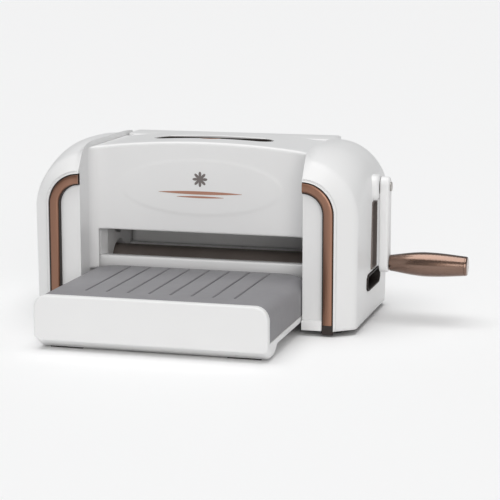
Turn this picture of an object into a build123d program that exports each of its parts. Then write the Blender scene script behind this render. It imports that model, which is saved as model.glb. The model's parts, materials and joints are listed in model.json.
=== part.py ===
from build123d import *
import math
import os

# A hand-cranked die cutting machine. The origin is on the table under the middle of the machine.
# +X is to the right (the crank side), +Y is to the back and +Z is up. Millimetres.

# ---- Body ----
column_inner_x = 121.0
column_width = 56.0
column_top_z = 189.4
body_half_width = column_inner_x + column_width
shoulder_radius = 49.0
shoulder_x = column_inner_x + 8.0
dome_y = 60.0
shell_bottom_z = 6.0
shell_wall = 3.0
crease_y = 79.0
crease_top_z = column_top_z - 7.4
crease_radius = 62.0
crease_centre_z = column_top_z - 72.4
front_y = 96.0
trim_outer_x = column_inner_x + 33.0
trim_width = 11.0
trim_depth = 5.8
trim_gap = 0.4
trim_top_z = column_top_z - 30.8
trim_foot_top_z = 12.0
trim_foot_bottom_z = 2.0
trim_radius = 33.0
setback_depth = 5.5
setback_bottom_z = 16.0

# ---- Centre shell, throat and ledges ----
panel_y = 52.0
centre_top_z = column_top_z + 2.2
centre_side_top_z = column_top_z - 5.9
centre_edge_fillet = 4.0
corner_cove = 12.0
seam = 0.2
slot_top_z = 94.8
slot_half_width = column_inner_x - 7.5
throat_half_width = column_inner_x - 11.0
ledge_top_z = 65.2
ledge_bottom_z = 12.0

# ---- Carry handle in the top ----
handle_length = 132.0
handle_width = 30.0
handle_depth = 30.0
handle_wall = 2.0
inlay_length = 24.0
inlay_width = 6.0
inlay_thickness = 1.6

# ---- Rollers ----
roller_radius = 18.0
roller_gap = 18.0
lower_roller_z = 51.9
roller_opening = roller_radius + 5.4
journal_radius = 10.0
journal_clearance = 0.05
bush_wall = 3.0
gear_seat_radius = 8.0

# ---- Steel frame ----
frame_x = column_inner_x + 5.0
frame_thickness = 6.0
frame_half_depth = 44.0
frame_top_z = column_top_z - 29.4
base_thickness = 3.0
base_half_depth = 42.0
tie_rod_radius = 5.0
tie_rod_top = (30.0, frame_top_z - 14.0)
tie_rod_bottom = (20.0, 22.0)

# ---- Gears ----
pinion_teeth = 15
roller_gear_teeth = 36
gear_module = (2 * roller_radius + roller_gap) / roller_gear_teeth
gear_x = frame_x + 12.0
gear_width = 12.0
gear_backlash = 0.16
pressure_angle = math.radians(20)

# ---- Crank ----
crank_y = 7.0
crank_shaft_radius = 6.0
hub_pad_size = (28.0, 26.0)
hub_pad_corner = 9.0
hub_pad_root_x = body_half_width - 17.0
washer_gap = 0.3
arm_x = body_half_width + 6.0
arm_thickness = 10.0
arm_width = 17.0
arm_reach = 82.0
grip_end_x = arm_x + 94.0
grip_root_radius = 9.5
grip_belly_radius = 13.0
grip_tip_radius = 10.2
grip_bore_clearance = 0.08
spindle_radius = 4.0

# ---- Side recesses ----
channel_width = 26.0
channel_z = (55.0, 128.0)
channel_depth = 6.0
pocket_z = 43.5
pocket_length = 69.0
pocket_height = 18.0
pocket_depth = 16.0
liner_wall = 1.6

# ---- Trays ----
tray_half_width = column_inner_x - 1.0
tray_front_y = 226.0
tray_back_y = 53.2
tray_top_z = 55.5
tray_plate_z = 12.5
tray_plate = 6.5
lip_thickness = 8.0
lip_corner = 13.5
lip_edge_z = 11.4
foot_bar_z = 1.6
foot_bar_y = (198.0, 211.0)
foot_bar_root_y = 185.0
foot_bar_corner = 6.0
tray_wall = 3.0
hinge_boss = 16.0
hinge_y = 74.5
hinge_z = 34.9
hinge_pin_radius = 4.0
hinge_pin_clearance = 0.1
hinge_trough_gap = 1.0
rib_count = 8
rib_spacing = 22.1
rib_height = 0.7
rib_width = 2.0
rib_front_y = 191.5
pad_size = (34.0, 9.0)

# ---- Feet ----
foot_radius = 9.0
foot_place = (column_inner_x + 29.0, 68.0)
centre_pad_size = (70.0, 30.0)

# ---- Worked out from the above ----
upper_roller_z = lower_roller_z + 2 * roller_radius + roller_gap
pitch_sum = gear_module * (pinion_teeth + roller_gear_teeth) / 2
crank_z = upper_roller_z + math.sqrt(pitch_sum**2 - crank_y**2)
inner_x = column_inner_x + shell_wall
setback_x = trim_outer_x - trim_width
base_bottom_z = shell_bottom_z
base_top_z = base_bottom_z + base_thickness
ledge_back_y = roller_radius + 19.0
ledge_front_y = panel_y - shell_wall - seam
barrel_radius = math.hypot(hinge_y - tray_back_y, tray_top_z - hinge_z)
grip_z = crank_z - arm_reach
arm_outer_x = arm_x + arm_thickness
hub_pad_outer_x = arm_x - 2.0
hub_pad_reach = hub_pad_size[0] / 2 - 2
frame_outer_x = frame_x + frame_thickness

os.makedirs("parts", exist_ok=True)


def save(piece, name, fold=0):
    """Label a finished piece and write it as its own STEP file, turned about the rear hinge if asked."""
    solid = piece.part.rotate(Axis((0, hinge_y, hinge_z), (1, 0, 0)), fold) if fold else piece.part
    solid.label = name
    export_step(solid, f"parts/{name}.step")


def at_y(y):
    """The upright plane across the machine at this Y."""
    return Plane.XZ.offset(-y)


def arch(plane, side, inner, outer, bottom, top, radius, centre_z):
    """The front outline of one column: upright outside, a large arc, then a straight top inwards."""
    centre_x = outer - radius
    arc_end = (shoulder_x, centre_z + math.sqrt(radius**2 - (shoulder_x - centre_x) ** 2))
    middle = math.atan2(arc_end[1] - centre_z, arc_end[0] - centre_x) / 2
    on_arc = (centre_x + radius * math.cos(middle), centre_z + radius * math.sin(middle))
    with BuildSketch(plane) as outline:
        with BuildLine():
            Line((side * inner, bottom), (side * outer, bottom))
            Line((side * outer, bottom), (side * outer, centre_z))
            ThreePointArc(
                (side * outer, centre_z), (side * on_arc[0], on_arc[1]), (side * arc_end[0], arc_end[1])
            )
            Line((side * arc_end[0], arc_end[1]), (side * inner, top))
            Line((side * inner, top), (side * inner, bottom))
        make_face()
    return outline.sketch


def column_body(side, inset):
    """Both bevels and the domed middle of a column, drawn in by the inset on every side."""
    inner = column_inner_x + inset
    bottom = shell_bottom_z - 2 * inset
    crease = [v - inset for v in (body_half_width, crease_top_z, crease_radius)] + [crease_centre_z]
    middle = [v - inset for v in (body_half_width, column_top_z, shoulder_radius)]
    middle += [column_top_z - shoulder_radius]
    trim = [trim_outer_x, trim_top_z, trim_radius, trim_top_z - trim_radius]
    face_y = front_y - setback_depth - inset if inset else front_y
    share = (face_y - crease_y) / (front_y - crease_y)
    front = [c + (t - c) * share for c, t in zip(crease, trim)]
    with BuildPart() as body:
        for end in (-1, 1):
            bevel = [
                arch(at_y(end * crease_y), side, inner, crease[0], bottom, *crease[1:]),
                arch(at_y(end * face_y), side, inner, front[0], bottom, *front[1:]),
            ]
            loft(sections=bevel, ruled=True)
        stations = ((-crease_y, crease), (-dome_y, middle), (dome_y, middle), (crease_y, crease))
        sections = [arch(at_y(y), side, inner, s[0], bottom, *s[1:]) for y, s in stations]
        loft(sections=sections, ruled=True)
    return body.part


def trim_band(side, y, gap, bottom):
    """The inverted-J band that frames the opening of a column."""
    centre_z = trim_top_z - trim_radius
    outer_arch = (trim_outer_x + gap, bottom, trim_top_z + gap, trim_radius + gap, centre_z)
    with BuildSketch(at_y(y)) as band:
        add(arch(Plane.XY, side, column_inner_x, *outer_arch))
        add(inner_arch(Plane.XY, side, gap, bottom - 1), mode=Mode.SUBTRACT)
    return band.sketch


def inner_arch(plane, side, gap, bottom):
    """The zone inside the trim, drawn in by the gap."""
    centre_z = trim_top_z - trim_radius
    top = trim_top_z - trim_width - gap
    radius = trim_radius - trim_width - gap
    return arch(plane, side, column_inner_x, setback_x - gap, bottom, top, radius, centre_z)


def rod_places():
    """The middles of the four tie rods, in Y and Z."""
    return [(s * y, z) for y, z in (tie_rod_top, tie_rod_bottom) for s in (-1, 1)]


# ---- Side columns ----
for side, side_name in ((-1, "left"), (1, "right")):
    outside = column_body(side, 0)
    inside = column_body(side, shell_wall)
    with BuildPart() as casing:
        add(outside)
        add(inside, mode=Mode.SUBTRACT)
        # The zone inside each trim stands back from it, and the trim lies in a groove.
        for end in (-1, 1):
            face = at_y(end * front_y)
            extrude(
                inner_arch(face, side, 0, setback_bottom_z),
                amount=-setback_depth,
                dir=(0, end, 0),
                mode=Mode.SUBTRACT,
            )
            extrude(
                trim_band(side, end * front_y, trim_gap, -1),
                amount=-trim_depth - trim_gap,
                dir=(0, end, 0),
                mode=Mode.SUBTRACT,
            )
        # Openings in the inner wall for the rollers, tie rods, base plate and tray hinge pins.
        with BuildSketch(Plane.YZ.offset(side * column_inner_x)):
            with Locations((0, lower_roller_z), (0, upper_roller_z)):
                Circle(roller_opening)
            with Locations(*rod_places()):
                Circle(tie_rod_radius + 1)
            with Locations((0, shell_bottom_z)):
                Rectangle(2 * base_half_depth + 1, 2 * base_thickness + 0.4)
            with Locations((-hinge_y, hinge_z), (hinge_y, hinge_z)):
                Circle(hinge_pin_radius)
        extrude(amount=side * shell_wall, mode=Mode.SUBTRACT)
        # The finger pocket low in each side, and the channel behind the crank arm.
        with BuildSketch(Plane.YZ.offset(side * (body_half_width - shell_wall - 2))):
            with Locations((crank_y, pocket_z)):
                SlotOverall(pocket_length, pocket_height)
            if side > 0:
                with Locations((crank_y, sum(channel_z) / 2)):
                    RectangleRounded(channel_width, channel_z[1] - channel_z[0], 3)
        extrude(amount=side * (shell_wall + 2), mode=Mode.SUBTRACT)
        if side > 0:
            # The hub pad carries the outer bush of the crank shaft out past the shoulder.
            with BuildSketch(Plane.YZ.offset(hub_pad_root_x)):
                with Locations((crank_y, crank_z - hub_pad_size[1] / 2 + hub_pad_reach)):
                    RectangleRounded(*hub_pad_size, hub_pad_corner)
            extrude(amount=hub_pad_outer_x - hub_pad_root_x)
            with BuildSketch(Plane.YZ.offset(hub_pad_root_x)):
                with Locations((crank_y, crank_z)):
                    Circle(crank_shaft_radius + bush_wall)
            extrude(amount=hub_pad_outer_x - hub_pad_root_x, mode=Mode.SUBTRACT)
    save(casing, f"{side_name}_casing")

# ---- Copper-coloured trims on the four column faces, with the black feet below them ----
for side, side_name in ((-1, "left"), (1, "right")):
    for end, end_name in ((-1, "front"), (1, "rear")):
        with BuildPart() as trim:
            band = trim_band(side, end * front_y, 0, trim_foot_top_z)
            extrude(band, amount=-trim_depth, dir=(0, end, 0))
        save(trim, f"{side_name}_{end_name}_trim")

with BuildPart() as trim_feet:
    trim_middle_x = (trim_outer_x + setback_x) / 2
    foot_height = trim_foot_top_z - trim_foot_bottom_z
    for side in (-1, 1):
        for end in (-1, 1):
            with Locations((side * trim_middle_x, end * (front_y - trim_depth / 2), trim_foot_top_z)):
                Box(trim_width, trim_depth, foot_height,
                    align=(Align.CENTER, Align.CENTER, Align.MAX))
    fillet(trim_feet.edges().group_by(Axis.Z)[0].filter_by(Axis.X), 1.5)
save(trim_feet, "trim_feet")

# ---- Centre shell: front panel, arched top and rear panel in one moulding ----
shell_half_width = column_inner_x - seam


def centre_block(half_width, half_depth, drop, bottom):
    """The solid between the columns, with the shallow arch of its top across the machine."""
    with BuildPart() as block:
        with BuildSketch(at_y(half_depth)):
            with BuildLine():
                Polyline(
                    (-half_width, centre_side_top_z - drop),
                    (-half_width, bottom),
                    (half_width, bottom),
                    (half_width, centre_side_top_z - drop),
                )
                ThreePointArc(
                    (half_width, centre_side_top_z - drop),
                    (0, centre_top_z - drop),
                    (-half_width, centre_side_top_z - drop),
                )
            make_face()
        extrude(amount=2 * half_depth)
    return block.part


post_bottom_z = hinge_z + 6
def inlay_shape():
    """The lens-shaped piece on the front rim of the carry handle's opening."""
    rim_y = -handle_width / 2
    with BuildSketch(Plane.XY.offset(centre_top_z - inlay_thickness)) as lens:
        with BuildLine():
            Line((-inlay_length / 2, rim_y), (inlay_length / 2, rim_y))
            ThreePointArc(
                (inlay_length / 2, rim_y), (0, rim_y - inlay_width), (-inlay_length / 2, rim_y)
            )
        make_face()
    return lens.sketch


shell_outside = centre_block(shell_half_width, panel_y, 0, post_bottom_z)
shell_inside = centre_block(slot_half_width, panel_y - shell_wall, shell_wall, 0)
with BuildPart() as centre_shell:
    add(shell_outside)
    top_edges = centre_shell.edges().filter_by(GeomType.CIRCLE)
    fillet(top_edges, centre_edge_fillet)
    # Coves blend both panels into the columns beside them.
    cove_x = shell_half_width - corner_cove
    for side in (-1, 1):
        for end in (-1, 1):
            with BuildSketch(Plane.XY.offset(post_bottom_z)):
                with BuildLine():
                    Line((side * cove_x, end * panel_y), (side * shell_half_width, end * panel_y))
                    Line(
                        (side * shell_half_width, end * panel_y),
                        (side * shell_half_width, end * (panel_y + corner_cove)),
                    )
                    RadiusArc(
                        (side * shell_half_width, end * (panel_y + corner_cove)),
                        (side * cove_x, end * panel_y),
                        side * end * corner_cove,
                    )
                make_face()
            extrude(amount=centre_side_top_z - 1.5 - post_bottom_z)
    add(shell_inside, mode=Mode.SUBTRACT)
    # The way for the plates, right through the machine, and the seats of the two ledges.
    with Locations((0, 0, 0)):
        Box(2 * slot_half_width, 4 * panel_y, slot_top_z,
            align=(Align.CENTER, Align.CENTER, Align.MIN), mode=Mode.SUBTRACT)
    # Side openings for the rollers, cheeks and tie rods.
    with BuildSketch(Plane.YZ.offset(-shell_half_width)):
        Rectangle(2 * (panel_y - shell_wall), 2 * (tie_rod_top[1] + 12))
    extrude(amount=2 * shell_half_width, mode=Mode.SUBTRACT)
    # The trays swing in a trough below the panels, so the corner posts end above their hinges.
    for end in (-1, 1):
        with BuildSketch(Plane.YZ.offset(-shell_half_width)):
            with Locations((end * hinge_y, hinge_z)):
                Circle(barrel_radius + hinge_trough_gap)
        extrude(amount=2 * shell_half_width, mode=Mode.SUBTRACT)
    # The carry handle's opening, and the shallow seat of the inlay on its front rim.
    with BuildSketch(Plane.XY.offset(centre_top_z - 2 * shell_wall - 4)):
        SlotOverall(handle_length, handle_width)
    extrude(amount=3 * shell_wall + 4, mode=Mode.SUBTRACT)
    extrude(inlay_shape(), amount=2 * inlay_thickness, mode=Mode.SUBTRACT)
save(centre_shell, "centre_shell")

with BuildPart() as handle_inlay:
    extrude(inlay_shape(), amount=inlay_thickness)
save(handle_inlay, "handle_inlay")

with BuildPart() as handle_pocket:
    pocket_top_z = centre_top_z - (handle_length / 2) ** 2 * (centre_top_z - centre_side_top_z) / (
        shell_half_width**2
    )
    with BuildSketch(Plane.XY.offset(pocket_top_z - handle_depth)):
        SlotOverall(handle_length - 2 * seam, handle_width - 2 * seam)
    extrude(amount=handle_depth)
    with BuildSketch(Plane.XY.offset(pocket_top_z - handle_depth + handle_wall)):
        SlotOverall(handle_length - 2 * handle_wall, handle_width - 2 * handle_wall)
    extrude(amount=handle_depth, mode=Mode.SUBTRACT)
save(handle_pocket, "handle_pocket")

# ---- Ledges in front of and behind the rollers ----
for end, end_name in ((-1, "front"), (1, "rear")):
    with BuildPart() as ledge:
        with BuildSketch(Plane.YZ.offset(-shell_half_width)):
            with BuildLine():
                Polyline(
                    (end * ledge_back_y, ledge_bottom_z),
                    (end * ledge_back_y, ledge_top_z),
                    (end * ledge_front_y, ledge_top_z),
                    (end * (hinge_y - 6), ledge_top_z - 30),
                    (end * (hinge_y - 6), ledge_bottom_z),
                    close=True,
                )
            make_face()
            with Locations((end * hinge_y, hinge_z)):
                Circle(barrel_radius + hinge_trough_gap, mode=Mode.SUBTRACT)
            with Locations((end * (ledge_front_y + 15), hinge_z)):
                Rectangle(30, 80, mode=Mode.SUBTRACT)
        extrude(amount=2 * shell_half_width)
        fillet(ledge.edges().filter_by(Axis.X).group_by(Axis.Z)[-1], 2.0)
    save(ledge, f"{end_name}_ledge")

# ---- Throat cheeks that guide the plates between the rollers ----
for side, side_name in ((-1, "left"), (1, "right")):
    with BuildPart() as cheek:
        cheek_depth = panel_y - shell_wall - seam
        with BuildSketch(Plane.XY.offset(ledge_top_z + seam)):
            with BuildLine():
                Polyline(
                    (side * throat_half_width, ledge_back_y),
                    (side * slot_half_width, cheek_depth),
                    (side * shell_half_width, cheek_depth),
                    (side * shell_half_width, -cheek_depth),
                    (side * slot_half_width, -cheek_depth),
                    (side * throat_half_width, -ledge_back_y),
                    close=True,
                )
            make_face()
        extrude(amount=tie_rod_top[1] + 11 - ledge_top_z)
        cheek_width = shell_half_width - throat_half_width
        with Locations((side * (throat_half_width + cheek_width / 2), 0, ledge_bottom_z)):
            Box(cheek_width, 2 * (ledge_back_y - seam), ledge_top_z - ledge_bottom_z + 1,
                align=(Align.CENTER, Align.CENTER, Align.MIN))
        with BuildSketch(Plane.YZ.offset(side * throat_half_width)):
            with Locations((0, lower_roller_z), (0, upper_roller_z)):
                Circle(roller_opening)
            with Locations(*rod_places()):
                Circle(tie_rod_radius + 1)
        extrude(amount=side * cheek_width, mode=Mode.SUBTRACT)
    save(cheek, f"{side_name}_cheek")

# ---- Base plate: a crossbar between the columns and a leg under each ----
with BuildPart() as base_plate:
    with BuildSketch(Plane.XY.offset(base_bottom_z)):
        Rectangle(2 * foot_place[0], 2 * base_half_depth)
        with Locations((-foot_place[0], 0), (foot_place[0], 0)):
            Rectangle(2 * (body_half_width - shell_wall - foot_place[0] - seam), 2 * crease_y - 1)
    extrude(amount=base_thickness)
save(base_plate, "base_plate")

# ---- Steel side frames, bushes and tie rods ----
bush_radius = journal_radius + bush_wall
for side, side_name in ((-1, "left"), (1, "right")):
    with BuildPart() as frame_plate:
        frame_height = frame_top_z - base_top_z
        with BuildSketch(Plane.YZ.offset(side * frame_x)):
            with Locations((0, base_top_z + frame_height / 2)):
                Rectangle(2 * frame_half_depth, frame_height)
            with Locations((0, lower_roller_z), (0, upper_roller_z)):
                Circle(bush_radius, mode=Mode.SUBTRACT)
            with Locations(*rod_places()):
                Circle(tie_rod_radius - 1, mode=Mode.SUBTRACT)
            if side > 0:
                with Locations((crank_y, crank_z)):
                    Circle(crank_shaft_radius + bush_wall, mode=Mode.SUBTRACT)
        extrude(amount=side * frame_thickness)
        fillet(frame_plate.edges().filter_by(Axis.X).group_by(Axis.Z)[-1], 10)
        # A foot flange stands on the base plate.
        with Locations((side * (frame_x + frame_thickness / 2 + 4), 0, base_top_z)):
            Box(frame_thickness + 8, 2 * frame_half_depth, frame_thickness / 2,
                align=(Align.CENTER, Align.CENTER, Align.MIN))
    save(frame_plate, f"{side_name}_side_frame")

with BuildPart() as roller_bushes:
    for side in (-1, 1):
        with BuildSketch(Plane.YZ.offset(side * frame_x)):
            with Locations((0, lower_roller_z), (0, upper_roller_z)):
                Circle(bush_radius)
                Circle(journal_radius + journal_clearance, mode=Mode.SUBTRACT)
        extrude(amount=side * frame_thickness)
save(roller_bushes, "roller_bushes")

with BuildPart() as tie_rods:
    with BuildSketch(Plane.YZ.offset(-frame_x)):
        with Locations(*rod_places()):
            Circle(tie_rod_radius)
    extrude(amount=2 * frame_x)
    with BuildSketch(Plane.YZ.offset(-frame_outer_x - 1)):
        with Locations(*rod_places()):
            Circle(tie_rod_radius - 1)
    extrude(amount=2 * frame_outer_x + 2)
save(tie_rods, "tie_rods")

with BuildPart() as tie_rod_nuts:
    for side in (-1, 1):
        with BuildSketch(Plane.YZ.offset(side * frame_outer_x)):
            with Locations(*rod_places()):
                RegularPolygon(tie_rod_radius + 2, 6)
                Circle(tie_rod_radius - 1, mode=Mode.SUBTRACT)
        extrude(amount=side * 4)
save(tie_rod_nuts, "tie_rod_nuts")


# ---- Gears ----
def gear_points(teeth, turn):
    """The outline of a spur gear: four points up each involute flank, the tip land and the root."""
    pitch_radius = gear_module * teeth / 2
    base_radius = pitch_radius * math.cos(pressure_angle)
    tip_radius = pitch_radius + 0.95 * gear_module
    root_radius = pitch_radius - 1.2 * gear_module
    half_tooth = math.pi / (2 * teeth) - gear_backlash / (2 * pitch_radius)
    inv_pitch = math.tan(pressure_angle) - pressure_angle

    def half_angle(radius):
        roll = math.acos(min(1.0, base_radius / radius))
        return half_tooth + inv_pitch - (math.tan(roll) - roll)

    first = max(base_radius, root_radius)
    radii = [first + (tip_radius - first) * i / 3 for i in range(4)]
    flank = [(root_radius, half_angle(first))] + [(r, half_angle(r)) for r in radii]
    points = []
    for tooth in range(teeth):
        middle = turn + 2 * math.pi * tooth / teeth
        for sign, steps in ((-1, flank), (1, flank[::-1])):
            for radius, angle in steps:
                a = middle + sign * angle
                points.append((radius * math.cos(a), radius * math.sin(a)))
    return points


def mesh_turn(teeth, towards, gap):
    """The turn that puts a tooth (gap False) or a space (gap True) in the given direction."""
    return towards + (math.pi / teeth if gap else 0)


to_pinion = math.atan2(crank_z - upper_roller_z, crank_y)
# The upper gear has a tooth towards the pinion; the pinion and the lower gear have spaces there.
upper_turn = mesh_turn(roller_gear_teeth, to_pinion, False)
pinion_turn = mesh_turn(pinion_teeth, to_pinion + math.pi, True)
down_phase = (upper_turn + math.pi / 2) % (2 * math.pi / roller_gear_teeth)
lower_turn = mesh_turn(roller_gear_teeth, math.pi / 2 - down_phase, True)
gears = (
    ("upper_roller_gear", roller_gear_teeth, (0, upper_roller_z), upper_turn, gear_seat_radius),
    ("lower_roller_gear", roller_gear_teeth, (0, lower_roller_z), lower_turn, gear_seat_radius),
    ("crank_pinion", pinion_teeth, (crank_y, crank_z), pinion_turn, crank_shaft_radius),
)
for gear_name, teeth, place, turn, bore in gears:
    with BuildPart() as gear:
        with BuildSketch(Plane.YZ.offset(gear_x)):
            with BuildLine():
                outline = [(y + place[0], z + place[1]) for y, z in gear_points(teeth, turn)]
                Polyline(*outline, close=True)
            make_face()
            with Locations(place):
                Circle(bore, mode=Mode.SUBTRACT)
        extrude(amount=gear_width)
    save(gear, gear_name)

# ---- Rollers ----
roller_end_x = frame_x - 2
for roller_name, z in (("lower_roller", lower_roller_z), ("upper_roller", upper_roller_z)):
    with BuildPart() as roller:
        steps = (
            (-roller_end_x, roller_end_x, roller_radius),
            (-frame_outer_x - 2, gear_x - 1, journal_radius),
            (gear_x - 1, gear_x + gear_width + 3, gear_seat_radius),
        )
        for start, finish, radius in steps:
            with BuildSketch(Plane.YZ.offset(start)):
                with Locations((0, z)):
                    Circle(radius)
            extrude(amount=finish - start)
    save(roller, roller_name)
    with BuildPart() as gear_clip:
        with BuildSketch(Plane.YZ.offset(gear_x + gear_width)):
            with Locations((0, z)):
                Circle(gear_seat_radius + 3)
                Circle(gear_seat_radius, mode=Mode.SUBTRACT)
        extrude(amount=1.2)
    save(gear_clip, f"{roller_name}_gear_clip")

# ---- Crank ----
with BuildPart() as crank_shaft:
    shaft_start_x = frame_x - 1
    with BuildSketch(Plane.YZ.offset(shaft_start_x)):
        with Locations((crank_y, crank_z)):
            Circle(crank_shaft_radius)
    extrude(amount=arm_outer_x - 3 - shaft_start_x)
save(crank_shaft, "crank_shaft")

with BuildPart() as crank_bushes:
    for start, finish in ((frame_x, frame_outer_x), (hub_pad_root_x, hub_pad_outer_x)):
        with BuildSketch(Plane.YZ.offset(start)):
            with Locations((crank_y, crank_z)):
                Circle(crank_shaft_radius + bush_wall)
                Circle(crank_shaft_radius + journal_clearance, mode=Mode.SUBTRACT)
        extrude(amount=finish - start)
save(crank_bushes, "crank_bushes")

with BuildPart() as crank_washer:
    with BuildSketch(Plane.YZ.offset(hub_pad_outer_x + washer_gap)):
        with Locations((crank_y, crank_z)):
            Circle(crank_shaft_radius + 4)
            Circle(crank_shaft_radius, mode=Mode.SUBTRACT)
    extrude(amount=arm_x - hub_pad_outer_x - washer_gap)
save(crank_washer, "crank_washer")

with BuildPart() as crank_arm:
    arm_length = arm_reach + arm_width + 4
    arm_middle_z = (crank_z + grip_z) / 2
    with BuildSketch(Plane.YZ.offset(arm_x)):
        with Locations((crank_y, arm_middle_z)):
            SlotOverall(arm_length, arm_width, rotation=90)
    extrude(amount=arm_thickness)
    fillet(crank_arm.edges().group_by(Axis.X)[-1], 2.0)
    with BuildSketch(Plane.YZ.offset(arm_x)):
        with Locations((crank_y, crank_z)):
            Circle(crank_shaft_radius)
    extrude(amount=arm_thickness - 3, mode=Mode.SUBTRACT)
    with BuildSketch(Plane.YZ.offset(arm_x)):
        with Locations((crank_y, crank_z)):
            Circle(2.5)
        with Locations((crank_y, grip_z)):
            Circle(spindle_radius)
    extrude(amount=arm_thickness, mode=Mode.SUBTRACT)
save(crank_arm, "crank_arm")

with BuildPart() as arm_screw:
    with BuildSketch(Plane.YZ.offset(arm_outer_x)):
        with Locations((crank_y, crank_z)):
            Circle(5)
    extrude(amount=1.6)
    fillet(arm_screw.edges().group_by(Axis.X)[-1], 0.8)
    with BuildSketch(Plane.YZ.offset(arm_outer_x)):
        with Locations((crank_y, crank_z)):
            Circle(2.5)
    extrude(amount=-3)
save(arm_screw, "arm_screw")

with BuildPart() as grip_spindle:
    with BuildSketch(Plane.YZ.offset(arm_x)):
        with Locations((crank_y, grip_z)):
            Circle(spindle_radius)
    extrude(amount=grip_end_x - 8 - arm_x)
save(grip_spindle, "grip_spindle")

with BuildPart() as grip_sleeve:
    grip_start_x = arm_outer_x + 0.6
    belly_x = grip_start_x + 0.45 * (grip_end_x - grip_start_x)
    sleeve_end_x = grip_end_x - 3
    with BuildSketch(Plane.XZ.offset(-crank_y)):
        with BuildLine():
            Line((grip_start_x, grip_z), (grip_start_x, grip_z + grip_root_radius))
            ThreePointArc(
                (grip_start_x, grip_z + grip_root_radius),
                (belly_x, grip_z + grip_belly_radius),
                (sleeve_end_x, grip_z + grip_tip_radius),
            )
            Line((sleeve_end_x, grip_z + grip_tip_radius), (sleeve_end_x, grip_z))
            Line((sleeve_end_x, grip_z), (grip_start_x, grip_z))
        make_face()
    revolve(axis=Axis((0, crank_y, grip_z), (1, 0, 0)))
    with BuildSketch(Plane.YZ.offset(grip_start_x)):
        with Locations((crank_y, grip_z)):
            Circle(spindle_radius + grip_bore_clearance)
    extrude(amount=sleeve_end_x - grip_start_x, mode=Mode.SUBTRACT)
save(grip_sleeve, "grip_sleeve")

with BuildPart() as grip_end_cap:
    with BuildSketch(Plane.YZ.offset(sleeve_end_x)):
        with Locations((crank_y, grip_z)):
            Circle(grip_tip_radius)
    extrude(amount=grip_end_x - sleeve_end_x)
    fillet(grip_end_cap.edges().group_by(Axis.X)[-1], 1.5)
save(grip_end_cap, "grip_end_cap")

# ---- Liners of the side recesses ----
def recess_liner(side, places, depth, draw):
    """A shallow tray set into the side wall, open outwards."""
    outer_x = body_half_width - 0.3
    with BuildPart() as liner:
        with BuildSketch(Plane.YZ.offset(side * (outer_x - depth))):
            with Locations(places):
                draw(seam)
        extrude(amount=side * depth)
        with BuildSketch(Plane.YZ.offset(side * (outer_x - depth + liner_wall))):
            with Locations(places):
                draw(liner_wall + seam)
        extrude(amount=side * depth, mode=Mode.SUBTRACT)
    return liner


def channel_shape(inset):
    """The rounded upright rectangle of the channel."""
    RectangleRounded(channel_width - 2 * inset,
                     channel_z[1] - channel_z[0] - 2 * inset, 3 - inset / 2)


def pocket_shape(inset):
    """The long round-ended slot of the finger pocket."""
    SlotOverall(pocket_length - 2 * inset, pocket_height - 2 * inset)


channel_place = (crank_y, sum(channel_z) / 2)
save(recess_liner(1, channel_place, channel_depth, channel_shape), "side_channel_liner")
save(recess_liner(1, (crank_y, pocket_z), pocket_depth, pocket_shape), "right_pocket_liner")
save(recess_liner(-1, (crank_y, pocket_z), pocket_depth, pocket_shape), "left_pocket_liner")

# ---- Trays ----
def tray_outline(y, top, bottom, bottom_corner):
    """The tray's front outline: rounded top corners, and smaller ones at the bottom."""
    with BuildSketch(at_y(y)) as outline:
        with Locations((0, (top + bottom) / 2)):
            Rectangle(2 * tray_half_width, top - bottom)
        fillet(outline.vertices().group_by(Axis.Y)[-1], lip_corner)
        if bottom_corner:
            fillet(outline.vertices().group_by(Axis.Y)[0], bottom_corner)
    return outline.sketch


skin_profile = (
    (tray_front_y, tray_top_z + 0.5),
    (tray_front_y, lip_edge_z),
    (foot_bar_y[1], foot_bar_z),
    (foot_bar_y[0], foot_bar_z),
    (foot_bar_root_y, tray_plate_z),
    (hinge_y + 4, tray_plate_z),
    (hinge_y + 4, tray_plate_z + tray_plate),
    (tray_front_y - lip_thickness, tray_plate_z + tray_plate),
    (tray_front_y - lip_thickness, tray_top_z + 0.5),
)
barrel_bottom_y = hinge_y - math.sqrt(barrel_radius**2 - (hinge_z - tray_plate_z) ** 2)
deck_front_y = tray_front_y - lip_thickness - seam
deck_bottom_z = tray_plate_z + tray_plate + seam
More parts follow.
